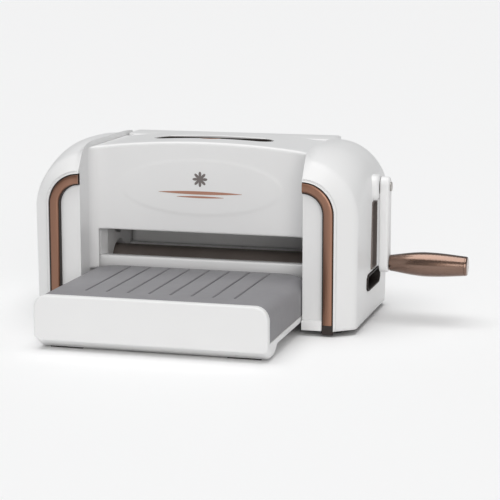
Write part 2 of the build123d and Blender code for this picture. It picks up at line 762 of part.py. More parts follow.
# The front tray lies open; the rear tray is drawn the same way and folded up against the body.
for end, end_name, fold in ((-1, "front", 0), (1, "rear", 90)):
    with BuildPart() as tray_skin:
        with BuildSketch(Plane.YZ.offset(-tray_half_width)):
            with BuildLine():
                Polyline(*[(end * y, z) for y, z in skin_profile], close=True)
            make_face()
        extrude(amount=2 * tray_half_width)
        outline = tray_outline(-tray_front_y - 1, tray_top_z + 0.5, foot_bar_z, foot_bar_corner)
        extrude(outline, amount=2 * tray_front_y + 2, dir=(0, 1, 0), mode=Mode.INTERSECT)
        front_face = tray_skin.faces().sort_by(Axis.Y)[-1 if end > 0 else 0]
        fillet(front_face.edges().sort_by(Axis.Z)[1:], 2.0)
    save(tray_skin, f"{end_name}_tray_skin", fold)

    with BuildPart() as tray_deck:
        with BuildSketch(Plane.YZ.offset(-tray_half_width)):
            with BuildLine():
                Polyline(
                    (end * tray_back_y, tray_top_z),
                    (end * deck_front_y, tray_top_z),
                    (end * deck_front_y, deck_bottom_z),
                    (end * (hinge_y + 4 - seam), deck_bottom_z),
                    (end * (hinge_y + 4 - seam), tray_plate_z),
                    (end * barrel_bottom_y, tray_plate_z),
                )
                ThreePointArc(
                    (end * barrel_bottom_y, tray_plate_z),
                    (end * (hinge_y - barrel_radius), hinge_z),
                    (end * tray_back_y, tray_top_z),
                )
            make_face()
        extrude(amount=2 * tray_half_width)
        outline = tray_outline(-tray_front_y, tray_top_z, tray_plate_z, 0)
        extrude(outline, amount=2 * tray_front_y, dir=(0, 1, 0), mode=Mode.INTERSECT)
        # The deck is a box open to the skin below it, with solid ends round the hinge pins.
        hollows = (
            (hinge_y + 7, deck_front_y - tray_wall, tray_half_width - tray_wall, deck_bottom_z),
            (barrel_bottom_y + 6, hinge_y + 8, tray_half_width - hinge_boss, tray_plate_z + 3),
        )
        for near, far, half_width, floor in hollows:
            with Locations((0, end * (near + far) / 2, floor)):
                Box(2 * half_width, far - near, tray_top_z - tray_wall - floor,
                    align=(Align.CENTER, Align.CENTER, Align.MIN), mode=Mode.SUBTRACT)
        with BuildSketch(Plane.YZ.offset(-tray_half_width)):
            with Locations((end * hinge_y, hinge_z)):
                Circle(hinge_pin_radius + hinge_pin_clearance)
        extrude(amount=2 * tray_half_width, mode=Mode.SUBTRACT)
        if end < 0:
            # Low ribs guide the plates along the front deck.
            with BuildSketch(Plane.XY.offset(tray_top_z - 0.5)):
                with Locations((0, -(rib_front_y + tray_back_y + 1) / 2)):
                    with GridLocations(rib_spacing, 1, rib_count, 1):
                        SlotOverall(rib_front_y - tray_back_y - 1, rib_width, rotation=90)
            extrude(amount=rib_height + 0.5)
    save(tray_deck, f"{end_name}_tray_deck", fold)

    with BuildPart() as hinge_pins:
        for side in (-1, 1):
            with BuildSketch(Plane.YZ.offset(side * (tray_half_width - hinge_boss + 2))):
                with Locations((end * hinge_y, hinge_z)):
                    Circle(hinge_pin_radius)
            extrude(amount=side * (inner_x - tray_half_width + hinge_boss - 2))
    save(hinge_pins, f"{end_name}_hinge_pins")

    with BuildPart() as tray_pads:
        for side in (-1, 1):
            with Locations((side * (tray_half_width - 28), end * sum(foot_bar_y) / 2, 0)):
                Box(*pad_size, foot_bar_z, align=(Align.CENTER, Align.CENTER, Align.MIN))
    save(tray_pads, f"{end_name}_tray_pads", fold)

# ---- Feet under the base ----
with BuildPart() as rubber_feet:
    with BuildSketch():
        with GridLocations(2 * foot_place[0], 2 * foot_place[1], 2, 2):
            Circle(foot_radius)
    extrude(amount=base_bottom_z)
    fillet(rubber_feet.edges().group_by(Axis.Z)[0], 1.0)
save(rubber_feet, "rubber_feet")

with BuildPart() as centre_pad:
    with BuildSketch():
        RectangleRounded(*centre_pad_size, 6)
    extrude(amount=base_bottom_z)
save(centre_pad, "centre_pad")
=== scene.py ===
import json
import math

import bpy
import numpy as np
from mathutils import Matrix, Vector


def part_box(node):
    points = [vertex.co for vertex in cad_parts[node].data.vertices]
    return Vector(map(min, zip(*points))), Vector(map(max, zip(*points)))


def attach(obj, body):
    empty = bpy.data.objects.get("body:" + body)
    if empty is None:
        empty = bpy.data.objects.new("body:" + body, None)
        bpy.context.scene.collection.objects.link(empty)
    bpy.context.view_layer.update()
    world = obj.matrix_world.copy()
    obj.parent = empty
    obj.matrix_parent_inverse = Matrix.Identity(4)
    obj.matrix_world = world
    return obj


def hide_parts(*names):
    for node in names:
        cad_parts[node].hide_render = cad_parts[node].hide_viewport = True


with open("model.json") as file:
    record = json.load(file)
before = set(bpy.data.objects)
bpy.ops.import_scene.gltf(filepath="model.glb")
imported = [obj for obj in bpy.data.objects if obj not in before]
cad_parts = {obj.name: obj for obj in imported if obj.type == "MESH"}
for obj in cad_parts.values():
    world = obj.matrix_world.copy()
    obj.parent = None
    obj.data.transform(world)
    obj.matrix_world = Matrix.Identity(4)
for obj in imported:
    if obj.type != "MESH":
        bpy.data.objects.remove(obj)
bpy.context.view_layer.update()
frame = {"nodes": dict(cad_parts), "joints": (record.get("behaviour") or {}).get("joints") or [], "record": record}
joints = {joint["name"]: joint for joint in frame["joints"]}

MM = 0.001
WELD = 0.002 * MM


# ---------------------------------------------------------------------------
# Sizes read from the frame, in metres
# ---------------------------------------------------------------------------
def corners(node):
    """The lowest and highest corner of a CAD node as two numpy rows."""
    low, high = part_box(node)
    return np.array(low), np.array(high)


casing_low, casing_high = corners("left_casing")
trim_low, trim_high = corners("right_front_trim")
shell_low, shell_high = corners("centre_shell")
skin_low, skin_high = corners("front_tray_skin")
ledge_low, ledge_high = corners("front_ledge")
arm_low, arm_high = corners("crank_arm")
sleeve_low, sleeve_high = corners("grip_sleeve")
cap_high = corners("grip_end_cap")[1]
channel_low, channel_high = corners("side_channel_liner")
pocket_low, pocket_high = corners("right_pocket_liner")
handle_low = corners("handle_pocket")[0]

COLUMN_INNER = -casing_high[0]
COLUMN_OUTER = -casing_low[0]
COLUMN_TOP = casing_high[2]
SHELL_BOTTOM = casing_low[2]
FACE_Y = casing_high[1]
TRIM_OUTER = trim_high[0]
TRIM_TOP = trim_high[2]
TRIM_BOTTOM = trim_low[2]
TRIM_BACK_Y = -trim_high[1]
TRIM_RADIUS = TRIM_OUTER - COLUMN_INNER
TRIM_WIDTH = 11 * MM
SETBACK_Y = FACE_Y - 5.5 * MM
SHOULDER_RADIUS = 49 * MM
SHOULDER_X = 129 * MM
CRANK = np.array(joints["crank_turn"]["pos_m"])
GRIP = np.array(joints["grip_spin"]["pos_m"])
UPPER_ROLLER = np.array(joints["upper_roller_turn"]["pos_m"])
LOWER_ROLLER = np.array(joints["lower_roller_turn"]["pos_m"])
FRONT_HINGE = np.array(joints["front_tray_fold"]["pos_m"])


# ---------------------------------------------------------------------------
# Mesh helpers
# ---------------------------------------------------------------------------
def mesh_piece(name, points, faces, smooth_angle=35.0):
    """One object from an array of points and a list of faces, smooth except over sharp edges.

    Points that coincide are welded first; faces that shrink to a line and unused points are left out.
    """
    points = np.asarray(points, float).reshape(-1, 3)
    _, first, welded = np.unique(np.round(points / WELD), axis=0, return_index=True, return_inverse=True)
    sizes = np.array([len(face) for face in faces])
    starts = np.cumsum(sizes) - sizes
    corner = welded.ravel()[np.concatenate(faces)]
    before = np.arange(len(corner)) - 1
    before[starts] = starts + sizes - 1
    distinct = corner != corner[before]
    left = np.add.reduceat(distinct.astype(int), starts)
    keep = distinct & np.repeat(left > 2, sizes)
    used, place = np.unique(corner[keep], return_inverse=True)
    loops = np.split(place.ravel(), np.cumsum(left[left > 2])[:-1])
    mesh = bpy.data.meshes.new(name)
    mesh.from_pydata(points[first][used].tolist(), [], [loop.tolist() for loop in loops])
    mesh.validate()
    mesh.update()
    mesh.shade_smooth()
    mesh.set_sharp_from_angle(angle=math.radians(smooth_angle))
    piece = bpy.data.objects.new(name, mesh)
    bpy.context.scene.collection.objects.link(piece)
    return piece


def grid_faces(rows, columns, wrap=False):
    """Quads over a grid of points stored row by row; wrap joins the last column to the first."""
    r = np.arange(rows - 1)[:, None]
    c = np.arange(columns if wrap else columns - 1)[None, :]
    nxt = (c + 1) % columns
    here, above = r * columns, (r + 1) * columns
    return np.stack([here + c, here + nxt, above + nxt, above + c], -1).reshape(-1, 4).tolist()


def rings_piece(name, rings, smooth_angle=35.0, ends="flat"):
    """A closed solid through a stack of rings, each a closed loop of the same number of points.

    The first and last rings are filled by one flat face each, or joined to each other. The faces
    are turned outwards if the solid comes out inside out.
    """
    rings = np.asarray(rings, float)
    rows, columns = rings.shape[:2]
    faces = grid_faces(rows, columns, wrap=True)
    if ends == "flat":
        faces.append(list(range(columns))[::-1])
        faces.append([(rows - 1) * columns + i for i in range(columns)])
    else:
        here = np.arange(columns)
        after = (here + 1) % columns
        last = (rows - 1) * columns
        faces += np.stack([last + here, last + after, after, here], -1).tolist()
    if volume(rings.reshape(-1, 3), faces) < 0:
        faces = [f[::-1] for f in faces]
    return mesh_piece(name, rings, faces, smooth_angle)


def volume(points, faces):
    """Signed volume of a closed mesh: the sum of a . (b x c) / 6 over its triangles."""
    total = 0.0
    quads = np.array([f for f in faces if len(f) == 4])
    middle = points.mean(axis=0)
    corners_of = [points[quads[:, i]] - middle for i in range(4)]
    for a, b, c in ((0, 1, 2), (0, 2, 3)):
        total += np.einsum("ij,ij->", corners_of[a], np.cross(corners_of[b], corners_of[c]))
    for face in faces:
        if len(face) != 4:
            fan = points[face] - middle
            total += np.sum(np.cross(fan[1:-1], fan[2:]) @ fan[0])
    return total / 6


def blend_step(value, start, finish):
    """0 before start, 1 after finish, and an S-curve between: 3t^2 - 2t^3."""
    t = np.clip((value - start) / (finish - start), 0, 1)
    return t * t * (3 - 2 * t)


def steps(*stops):
    """Numbers along a line: pairs of (position, count of equal steps to the next)."""
    out = [np.linspace(a[0], b[0], a[1], endpoint=False) for a, b in zip(stops[:-1], stops[1:])]
    return np.concatenate(out + [[stops[-1][0]]])


def finished(piece, body, slot, material, *replaced):
    """Ride the body, take the material, and stand for CAD nodes; the slot argument is not used."""
    piece.data.materials.clear()
    piece.data.materials.append(material)
    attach(piece, body)
    if replaced:
        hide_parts(*replaced)
    return piece


# ---------------------------------------------------------------------------
# Materials
# ---------------------------------------------------------------------------
def linear(hex_colour):
    """sRGB hex to linear RGBA."""
    channels = [int(hex_colour[i:i + 2], 16) / 255 for i in (0, 2, 4)]
    return [c / 12.92 if c <= 0.04045 else ((c + 0.055) / 1.055) ** 2.4 for c in channels] + [1.0]


def node(material, kind, settings=None, links=None, feeds=None):
    """Add one shader node, set its properties and sockets, and link its inputs.

    feeds is a socket that the node's first output goes to.
    """
    made = material.node_tree.nodes.new(kind)
    for key, value in (settings or {}).items():
        if key in made.inputs:
            made.inputs[key].default_value = value
        else:
            setattr(made, key, value)
    for key, source in (links or {}).items():
        material.node_tree.links.new(source, made.inputs[key])
    if feeds:
        material.node_tree.links.new(made.outputs[0], feeds)
    return made


def surface(name, colour, roughness, settings=None):
    """A material with a Principled shader, and the Object coordinates to build patterns on."""
    material = bpy.data.materials.new(name)
    material.use_nodes = True
    shader = material.node_tree.nodes["Principled BSDF"]
    shader.inputs["Base Color"].default_value = linear(colour)
    shader.inputs["Roughness"].default_value = roughness
    for key, value in (settings or {}).items():
        shader.inputs[key].default_value = value
    place = node(material, "ShaderNodeTexCoord").outputs["Object"]
    return material, shader, place


def relief(material, shader, height, strength):
    """Let a 0 to 1 pattern raise the surface by up to 0.2 mm, times the strength."""
    depth = {"Strength": strength, "Distance": 0.2 * MM}
    node(material, "ShaderNodeBump", depth, {"Height": height}, shader.inputs["Normal"])


def varied(material, shader, factor, socket, low, high):
    """Let a 0 to 1 pattern move a colour or a number between two values."""
    if isinstance(low, str):
        ramp = node(material, "ShaderNodeMix", {"data_type": "RGBA"}, {"Factor": factor})
        ramp.inputs[6].default_value = linear(low)
        ramp.inputs[7].default_value = linear(high)
        material.node_tree.links.new(ramp.outputs[2], shader.inputs[socket])
    else:
        span = {"To Min": low, "To Max": high}
        node(material, "ShaderNodeMapRange", span, {"Value": factor}, shader.inputs[socket])


def mottling(material, place, size_mm, detail=2.0, stretch=None):
    """An irregular pattern with cells of about this size; stretch scales it along X, Y and Z."""
    if stretch:
        place = node(material, "ShaderNodeMapping", {"Scale": stretch}, {"Vector": place}).outputs[0]
    settings = {"Scale": 1000.0 / size_mm, "Detail": detail}
    return node(material, "ShaderNodeTexNoise", settings, {"Vector": place}).outputs["Fac"]


def moulded_abs(name, light, dark, roughness, grain_mm=0.9):
    """ABS from a lightly polished steel mould: even colour, soft gloss, a faint ripple in highlights.

    The mould's fine texture is under 0.1 mm, so it is drawn at about 1 mm to show at all.
    """
    material, shader, place = surface(name, light, roughness, {"IOR": 1.5, "Specular IOR Level": 0.5})
    varied(material, shader, mottling(material, place, 60.0, 1.0), "Base Color", light, dark)
    cloud = mottling(material, place, 18.0, 2.0)
    varied(material, shader, cloud, "Roughness", roughness - 0.03, roughness + 0.05)
    relief(material, shader, mottling(material, place, grain_mm, 2.0), 0.04)
    return material


def metallic_finish(name, light, dark, roughness, grain_mm, stretch, coat=0.35):
    """Vacuum-metallised and lacquered plastic: coloured metal, fine directional grain, a clear coat."""
    settings = {"Metallic": 1.0, "Coat Weight": coat, "Coat Roughness": 0.12}
    material, shader, place = surface(name, light, roughness, settings)
    varied(material, shader, mottling(material, place, 9.0, 2.0, stretch), "Base Color", light, dark)
    grain = mottling(material, place, grain_mm, 3.0, stretch)
    varied(material, shader, grain, "Roughness", roughness - 0.05, roughness + 0.08)
    relief(material, shader, grain, 0.05)
    return material


def machined_steel(name, light, dark, roughness, stretch, metallic=1.0):
    """Turned or ground carbon steel: fine tool lines across the axis, slightly uneven tone from oil.

    A blackened finish is part oxide, so it is less metallic and scatters more of the light.
    """
    material, shader, place = surface(name, light, roughness, {"Metallic": metallic})
    varied(material, shader, mottling(material, place, 22.0, 2.0), "Base Color", light, dark)
    lines = mottling(material, place, 2.5, 3.0, stretch)
    varied(material, shader, lines, "Roughness", roughness - 0.08, roughness + 0.1)
    relief(material, shader, lines, 0.06)
    return material


def textured_plastic(name, light, dark, roughness, grain_mm=1.1):
    """Polypropylene or ABS from a spark-eroded mould: matt, with a fine pebble that breaks up the light.

    The pebble is 0.2 mm on the real mould; it is drawn at about 1 mm so that it shows.
    """
    material, shader, place = surface(name, light, roughness, {"IOR": 1.49})
    varied(material, shader, mottling(material, place, 35.0, 2.0), "Base Color", light, dark)
    pebble = node(material, "ShaderNodeTexVoronoi", {"Scale": 1000.0 / grain_mm}, {"Vector": place})
    relief(material, shader, pebble.outputs["Distance"], 0.12)
    cloud = mottling(material, place, 8.0, 2.0)
    varied(material, shader, cloud, "Roughness", roughness - 0.06, roughness + 0.06)
    return material


def moulded_rubber(name, colour):
    """Black rubber pressed in a plain mould: dull, with dusty lighter patches."""
    material, shader, place = surface(name, colour, 0.75, {"IOR": 1.52})
    varied(material, shader, mottling(material, place, 6.0, 3.0), "Base Color", colour, "302E2C")
    relief(material, shader, mottling(material, place, 0.8, 2.0), 0.1)
    return material


WHITE = moulded_abs("white_moulded_abs", "EBEBEB", "E8E8E8", 0.36)
COPPER = metallic_finish("copper_metallised_trim", "A17A66", "88624F", 0.38, 0.8, (1.0, 1.0, 0.05))
ROSE_GOLD = metallic_finish("rose_gold_metallised_grip", "8C7060", "6E5447", 0.24, 0.8, (0.05, 1.0, 1.0), 0.9)
GREY_DECK = textured_plastic("grey_textured_deck", "8E8D90", "858487", 0.55)
# Painted shade: the ribs are the deck's own plastic, drawn in a darker grey so that they show as dark lines, with
# a little less roughness.
RIB_PAINTED_SHADE = textured_plastic("grey_rib_rubbed_smooth", "6C6B6E", "646366", 0.4)
# Dark textured plastic for the dark parts, also used as painted shade: for the beds that show as the shadow in the
# trims' grooves, and for the handle's cup, whose darkness stands for the shadow deep in its opening.
DARK_PLASTIC_AND_SHADE = textured_plastic("dark_textured_plastic", "2E2521", "28201D", 0.6)
RECESS_BROWN = textured_plastic("recess_brown_plastic", "2C2421", "251E1B", 0.65)
CHANNEL_GREY = textured_plastic("channel_grey_plastic", "8A807B", "7C736F", 0.6)
RUBBER = moulded_rubber("black_moulded_rubber", "1F1D1C")
ROLLER_STEEL = machined_steel("blackened_roller_steel", "9A908B", "857C77", 0.4, (8.0, 0.6, 0.6), 0.55)
BRIGHT_STEEL = machined_steel("turned_bright_steel", "B9B6B2", "A19D99", 0.28, (8.0, 0.6, 0.6))
PLATE_STEEL = machined_steel("cut_plate_steel", "8C8B8C", "7A7979", 0.42, (0.6, 0.6, 8.0))
BRONZE = machined_steel("sintered_bronze", "B08A52", "93703F", 0.45, (1.0, 1.0, 1.0))
# Pad-printed ink: a thin even film, with metal flake in it that gives a soft gleam.
INK_ROSE = surface("rose_printed_ink", "B48672", 0.35, {"Metallic": 0.6})[0]
INK_GREY = surface("grey_printed_ink", "77706E", 0.4, {"Metallic": 0.2})[0]

CAD_FINISHES = {
    "white_shell": WHITE, "copper_trim": COPPER, "rose_gold_grip": ROSE_GOLD, "grey_deck": GREY_DECK,
    "dark_plastic": DARK_PLASTIC_AND_SHADE, "black_rubber": RUBBER, "bright_steel": BRIGHT_STEEL,
    "frame_steel": PLATE_STEEL, "bronze": BRONZE,
}
LINER_FINISHES = {
    "right_pocket_liner": RECESS_BROWN, "left_pocket_liner": RECESS_BROWN, "side_channel_liner": CHANNEL_GREY,
}
for part in frame["record"]["subparts"]:
    shown = frame["nodes"][part["node"]].data
    shown.materials.clear()
    shown.materials.append(LINER_FINISHES.get(part["node"], CAD_FINISHES[part["material_slot"]]))


# ---------------------------------------------------------------------------
# Curves shared by several pieces
# ---------------------------------------------------------------------------
def rounded_rectangle(half_width, low, high, low_radius, high_radius, count=9):
    """A closed loop in (across, up): straight sides and quarter circles, count points a corner."""
    turn = np.linspace(0, math.pi / 2, count)
    loop = []
    for sx, sz, radius, back in ((1, 1, high_radius, False), (-1, 1, high_radius, True),
                                 (-1, -1, low_radius, False), (1, -1, low_radius, True)):
        sweep = turn[::-1] if back else turn
        across = sx * (half_width - radius) + sx * radius * np.cos(sweep)
        up = (high if sz > 0 else low) - sz * radius + sz * radius * np.sin(sweep)
        loop.append(np.stack([across, up], -1))
    return np.concatenate(loop)


def stadium(half_length, half_width, count=40):
    """A closed loop along the first axis: two half circles of radius half_width, joined by straights."""
    turn = np.linspace(-math.pi / 2, math.pi / 2, count // 2)
    right = np.stack([half_length - half_width + half_width * np.cos(turn), half_width * np.sin(turn)], -1)
    return np.concatenate([right, -right])


def stadium_distance(p, q, half_length, half_width):
    """Signed distance to a stadium: |(p, q) - nearest point of its middle line| - half_width."""
    along = np.maximum(np.abs(p) - (half_length - half_width), 0)
    return np.hypot(along, q) - half_width


def box_distance(p, q, half_p, half_q, radius):
    """Signed distance to a rounded rectangle: |max(d, 0)| + min(max(d), 0) - radius."""
    dp = np.abs(p) - half_p + radius
    dq = np.abs(q) - half_q + radius
    return np.hypot(np.maximum(dp, 0), np.maximum(dq, 0)) + np.minimum(np.maximum(dp, dq), 0) - radius


def recess(distance, edge, depth):
    """How far a surface stands back: a quarter circle of the edge radius, then the full depth inside."""
    rounding = edge - np.sqrt(np.maximum(edge**2 - np.clip(edge - distance, 0, edge) ** 2, 0))
    return np.where(distance < 0, depth, rounding)


def along_y(loop, y):
    """Put an (X, Z) loop at this Y."""
    return np.stack([loop[:, 0], np.full(len(loop), y), loop[:, 1]], -1)


def along_x(loop, x):
    """Put a (Y, Z) loop at this X."""
    return np.stack([np.full(len(loop), x), loop[:, 0], loop[:, 1]], -1)


def turned_x(profile, centre, count=64):
    """Rings about the X axis through the centre, one for each (x, radius) of a profile.

    A point of a ring is (x, cy + r cos a, cz + r sin a).
    """
    x, radius = np.array(profile, float).T[:, :, None]
    angle = np.linspace(0, 2 * math.pi, count, endpoint=False)[None, :]
    y = centre[1] + radius * np.cos(angle)
    z = centre[2] + radius * np.sin(angle)
    return np.stack([x + 0 * angle, y, z], -1)


# ---------------------------------------------------------------------------
# Side columns
# ---------------------------------------------------------------------------
GROOVE_GAP = 0.7 * MM
TRIM_INSET = 0.5 * MM
GROOVE_Y = FACE_Y - 6.2 * MM
WALL = 3 * MM
POCKET_HALF = (34.5 * MM, 9 * MM)
CHANNEL_HALF = (13 * MM, 36.5 * MM)
POCKET_MIDDLE = (pocket_low + pocket_high) / 2
CHANNEL_MIDDLE = (channel_low + channel_high) / 2
WINDOW_HALF_Y = 46 * MM
WINDOW_TOP = 159 * MM
BORE_RADIUS = 10 * MM
SIDE_DRAFT = 2.0 * MM
# The outline at each crease: Y, outer X, arc radius, arc centre Z, top Z, and the power of Y up to it.
FRONT_CREASE = (79 * MM, COLUMN_OUTER, 62 * MM, 117 * MM, 183.5 * MM, 2.2)
REAR_CREASE = (82 * MM, COLUMN_OUTER, 56 * MM, 125 * MM, 187 * MM, 3.0)
CREASE_SOFT = 5 * MM
BEVEL_SOFT = 0.22
TOP_FALL_Y = 48 * MM
ARC_STEPS = 30
SHOULDER_STEPS = 6
WALL_Z = np.array([159, 147, 140, 130, 120, 110, 100, 90, 80, 70, 60, 50, 40, 30, 20, 12]) * MM


def column_half(end):
    """Rows of (Y, outer X, arc radius, arc centre Z, top Z) from the middle to one set-back face.

    The outline moves from the domed middle to the crease by a power of Y, faster towards the front;
    the crease is a quadratic curve between side and bevel; the bevel is straight to the trim, which
    lies in a groove; the zone inside the trim stands back.
    """
    middle = np.array([COLUMN_OUTER, SHOULDER_RADIUS, COLUMN_TOP - SHOULDER_RADIUS, COLUMN_TOP])
    crease = FRONT_CREASE if end < 0 else REAR_CREASE
    outer, radius, top = TRIM_OUTER + GROOVE_GAP, TRIM_RADIUS + GROOVE_GAP, TRIM_TOP + GROOVE_GAP
    trim_centre_z = TRIM_TOP - TRIM_RADIUS
    knee_start = crease[0] - CREASE_SOFT

    def outline(y):
        """The outline at this Y, between the middle's and the crease's."""
        share = np.clip(y / crease[0], 0, 1) ** crease[5]
        top_share = np.clip((y - TOP_FALL_Y) / (crease[0] - TOP_FALL_Y), 0, 1) ** 2
        mixed = middle + (crease[1:5] - middle) * share
        mixed[3] = middle[3] + (crease[4] - middle[3]) * top_share
        return mixed

    rows = []
    stations = (0, 2), (4 * MM, 3), (18 * MM, 6), (22 * MM, 3), (32 * MM, 16), (43 * MM, 14), (knee_start, 1)
    for y in steps(*stations):
        rows.append([y, *outline(y)])
    start = np.array(rows[-1])
    knee = np.array([crease[0], *outline(crease[0])])
    face = np.array([FACE_Y, outer, radius, trim_centre_z, top])
    end_of_knee = knee + (face - knee) * BEVEL_SOFT
    for t in np.linspace(0, 1, 11)[1:]:
        rows.append(start * (1 - t) ** 2 + 2 * knee * t * (1 - t) + end_of_knee * t**2)
    for t in (0.3, 0.6, 0.9, 0.97, 1.0):
        rows.append(end_of_knee + (face - end_of_knee) * t)
    inner = TRIM_WIDTH + 2 * GROOVE_GAP
    for inset, y in ((0, FACE_Y - 0.6 * MM), (0, GROOVE_Y), (inner, GROOVE_Y), (inner, SETBACK_Y - 0.3 * MM),
                     (inner + 0.3 * MM, SETBACK_Y), (inner + 1.2 * MM, SETBACK_Y)):
        rows.append([y, outer - inset, radius - inset, trim_centre_z, top - inset])
    return np.array(rows)


def column_grid(side):
    """The skin of a column as a grid: stations along Y by points round its outline and inner wall.

    Outline: (outer - draft, z) up the side, (cx + r cos a, cz + r sin a) round the arc, then an eased
    line to the inner top corner and straight down the inner wall. The recesses push the side inwards
    by a function of the distance to their outlines.
    """
    rows = np.concatenate([column_half(1)[::-1], column_half(-1)[1:] * np.array([-1, 1, 1, 1, 1])])
    y, outer, radius, centre_z, top = (rows[:, i][:, None] for i in range(5))
    side_z = steps((SHELL_BOTTOM, 8), (33 * MM, 30), (54 * MM, 4), (57 * MM, 22), (126 * MM, 6),
                   (130 * MM, 4), (COLUMN_TOP - SHOULDER_RADIUS, 1))
    share = ((side_z - SHELL_BOTTOM) / (side_z[-1] - SHELL_BOTTOM))[None, :]
    up = SHELL_BOTTOM + (centre_z - SHELL_BOTTOM) * share
    bevel_share = np.clip((outer - TRIM_OUTER) / (COLUMN_OUTER - TRIM_OUTER), 0, 1)
    draft = SIDE_DRAFT * np.clip((COLUMN_OUTER - up) / COLUMN_OUTER, 0, 1) * bevel_share
    x_side = outer - draft + 0 * share
    centre_x = outer - radius
    last_angle = np.arccos(np.clip((SHOULDER_X - centre_x) / radius, -1, 1))
    angle = last_angle * np.linspace(0, 1, ARC_STEPS + 1)[None, 1:]
    draft_end = draft[:, -1:]
    x_arc = centre_x + radius * np.cos(angle) - draft_end * np.cos(angle)
    z_arc = centre_z + radius * np.sin(angle)
    reach = np.linspace(0, 1, SHOULDER_STEPS + 1)[None, 1:]
    slope = -(SHOULDER_X - centre_x) / np.sqrt(radius**2 - (SHOULDER_X - centre_x) ** 2)
    run = SHOULDER_X - COLUMN_INNER
    rise = top - z_arc[:, -1:]
    start_rise = -slope * run
    x_top = SHOULDER_X - run * reach + 0 * top
    z_top = z_arc[:, -1:] + start_rise * reach + (rise - start_rise) * reach**2
    z_wall = np.minimum(np.append(WALL_Z, SHELL_BOTTOM)[None, :], z_top[:, -1:])
    x = np.concatenate([x_side, x_arc, x_top, COLUMN_INNER + 0 * z_wall], 1)
    z = np.concatenate([up, z_arc, z_top, z_wall], 1)
    yy = y + 0 * x
    wall_reach = np.where(z_wall > WINDOW_TOP - MM, GROOVE_Y, SETBACK_Y)
    wall_y = np.abs(y) + 0 * z_wall
    yy[:, -z_wall.shape[1]:] = np.sign(y) * np.where(wall_y > GROOVE_Y - 0.01 * MM, wall_reach, wall_y)
    outside = np.arange(x.shape[1])[None, :] < x_side.shape[1] + ARC_STEPS
    pocket = stadium_distance(yy - POCKET_MIDDLE[1], z - POCKET_MIDDLE[2], *POCKET_HALF)
    x = x - np.where(outside, recess(pocket, 1.2 * MM, 16.5 * MM), 0)
    if side > 0:
        channel = box_distance(yy - CHANNEL_MIDDLE[1], z - CHANNEL_MIDDLE[2], *CHANNEL_HALF, 3 * MM)
        x = x - np.where(outside, recess(channel, 1.0 * MM, 6.5 * MM), 0)
    return np.stack([side * x, yy, z], -1), x_side.shape[1] + ARC_STEPS + SHOULDER_STEPS


def with_wall(piece, side):
    """Solidify the skin inwards, and keep the new points half a millimetre inside the inner face."""
    outer_count = len(piece.data.vertices)
    thick = piece.modifiers.new("wall", "SOLIDIFY")
    thick.thickness = WALL
    thick.offset = -1
    walled = bpy.data.meshes.new_from_object(piece.evaluated_get(bpy.context.evaluated_depsgraph_get()))
    piece.modifiers.clear()
    places = np.empty(len(walled.vertices) * 3)
    walled.vertices.foreach_get("co", places)
    places = places.reshape(-1, 3)
    places[outer_count:, 0] = side * np.maximum(side * places[outer_count:, 0], COLUMN_INNER + 0.5 * MM)
    walled.vertices.foreach_set("co", places.ravel())
    walled.update()
    piece.data = walled


def column_casing(side, name):
    """Skin, less the bottom, a window between the throat cheeks and the bore of the crank bush."""
    points, wall_column = column_grid(side)
    rows, columns = points.shape[:2]
    faces = np.array(grid_faces(rows, columns))
    middle = points.reshape(-1, 3)[faces].mean(axis=1)
    in_wall = (faces[:, 1] % columns) >= wall_column
    window = in_wall & (np.abs(middle[:, 1]) < WINDOW_HALF_Y) & (middle[:, 2] < WINDOW_TOP)
    keep = ~window
    if side > 0:
        from_crank = np.hypot(middle[:, 1] - CRANK[1], middle[:, 2] - CRANK[2])
        keep &= in_wall | (from_crank > BORE_RADIUS)
    faces = faces[keep].tolist()
    faces.append(list(range(columns))[::-1])
    faces.append([(rows - 1) * columns + i for i in range(columns)])
    if side < 0:
        faces = [f[::-1] for f in faces]
    piece = mesh_piece(f"{name}_shell", points, faces, 32.0)
    with_wall(piece, side)
    return finished(piece, "base", "white_shell", WHITE, f"{name}_casing")


def column_sills(side, name):
    """A low block at the foot of each set-back zone: rounded rectangles stacked along Y."""
    half, top = 10.8 * MM, 16 * MM
    for end, end_name in ((-1, "front"), (1, "rear")):
        rings = []
        for inset, back in np.array([(1.0, 0), (0.3, 0.3), (0, 1.0), (0, 8)]) * MM:
            loop = rounded_rectangle(half - inset, SHELL_BOTTOM, top - inset, 0.5 * MM, 1 * MM, 5)
            loop[:, 0] = side * (loop[:, 0] + COLUMN_INNER + half)
            rings.append(along_y(loop, end * (FACE_Y - back)))
        finished(rings_piece(f"{name}_{end_name}_sill", rings), "base", "white_shell", WHITE)


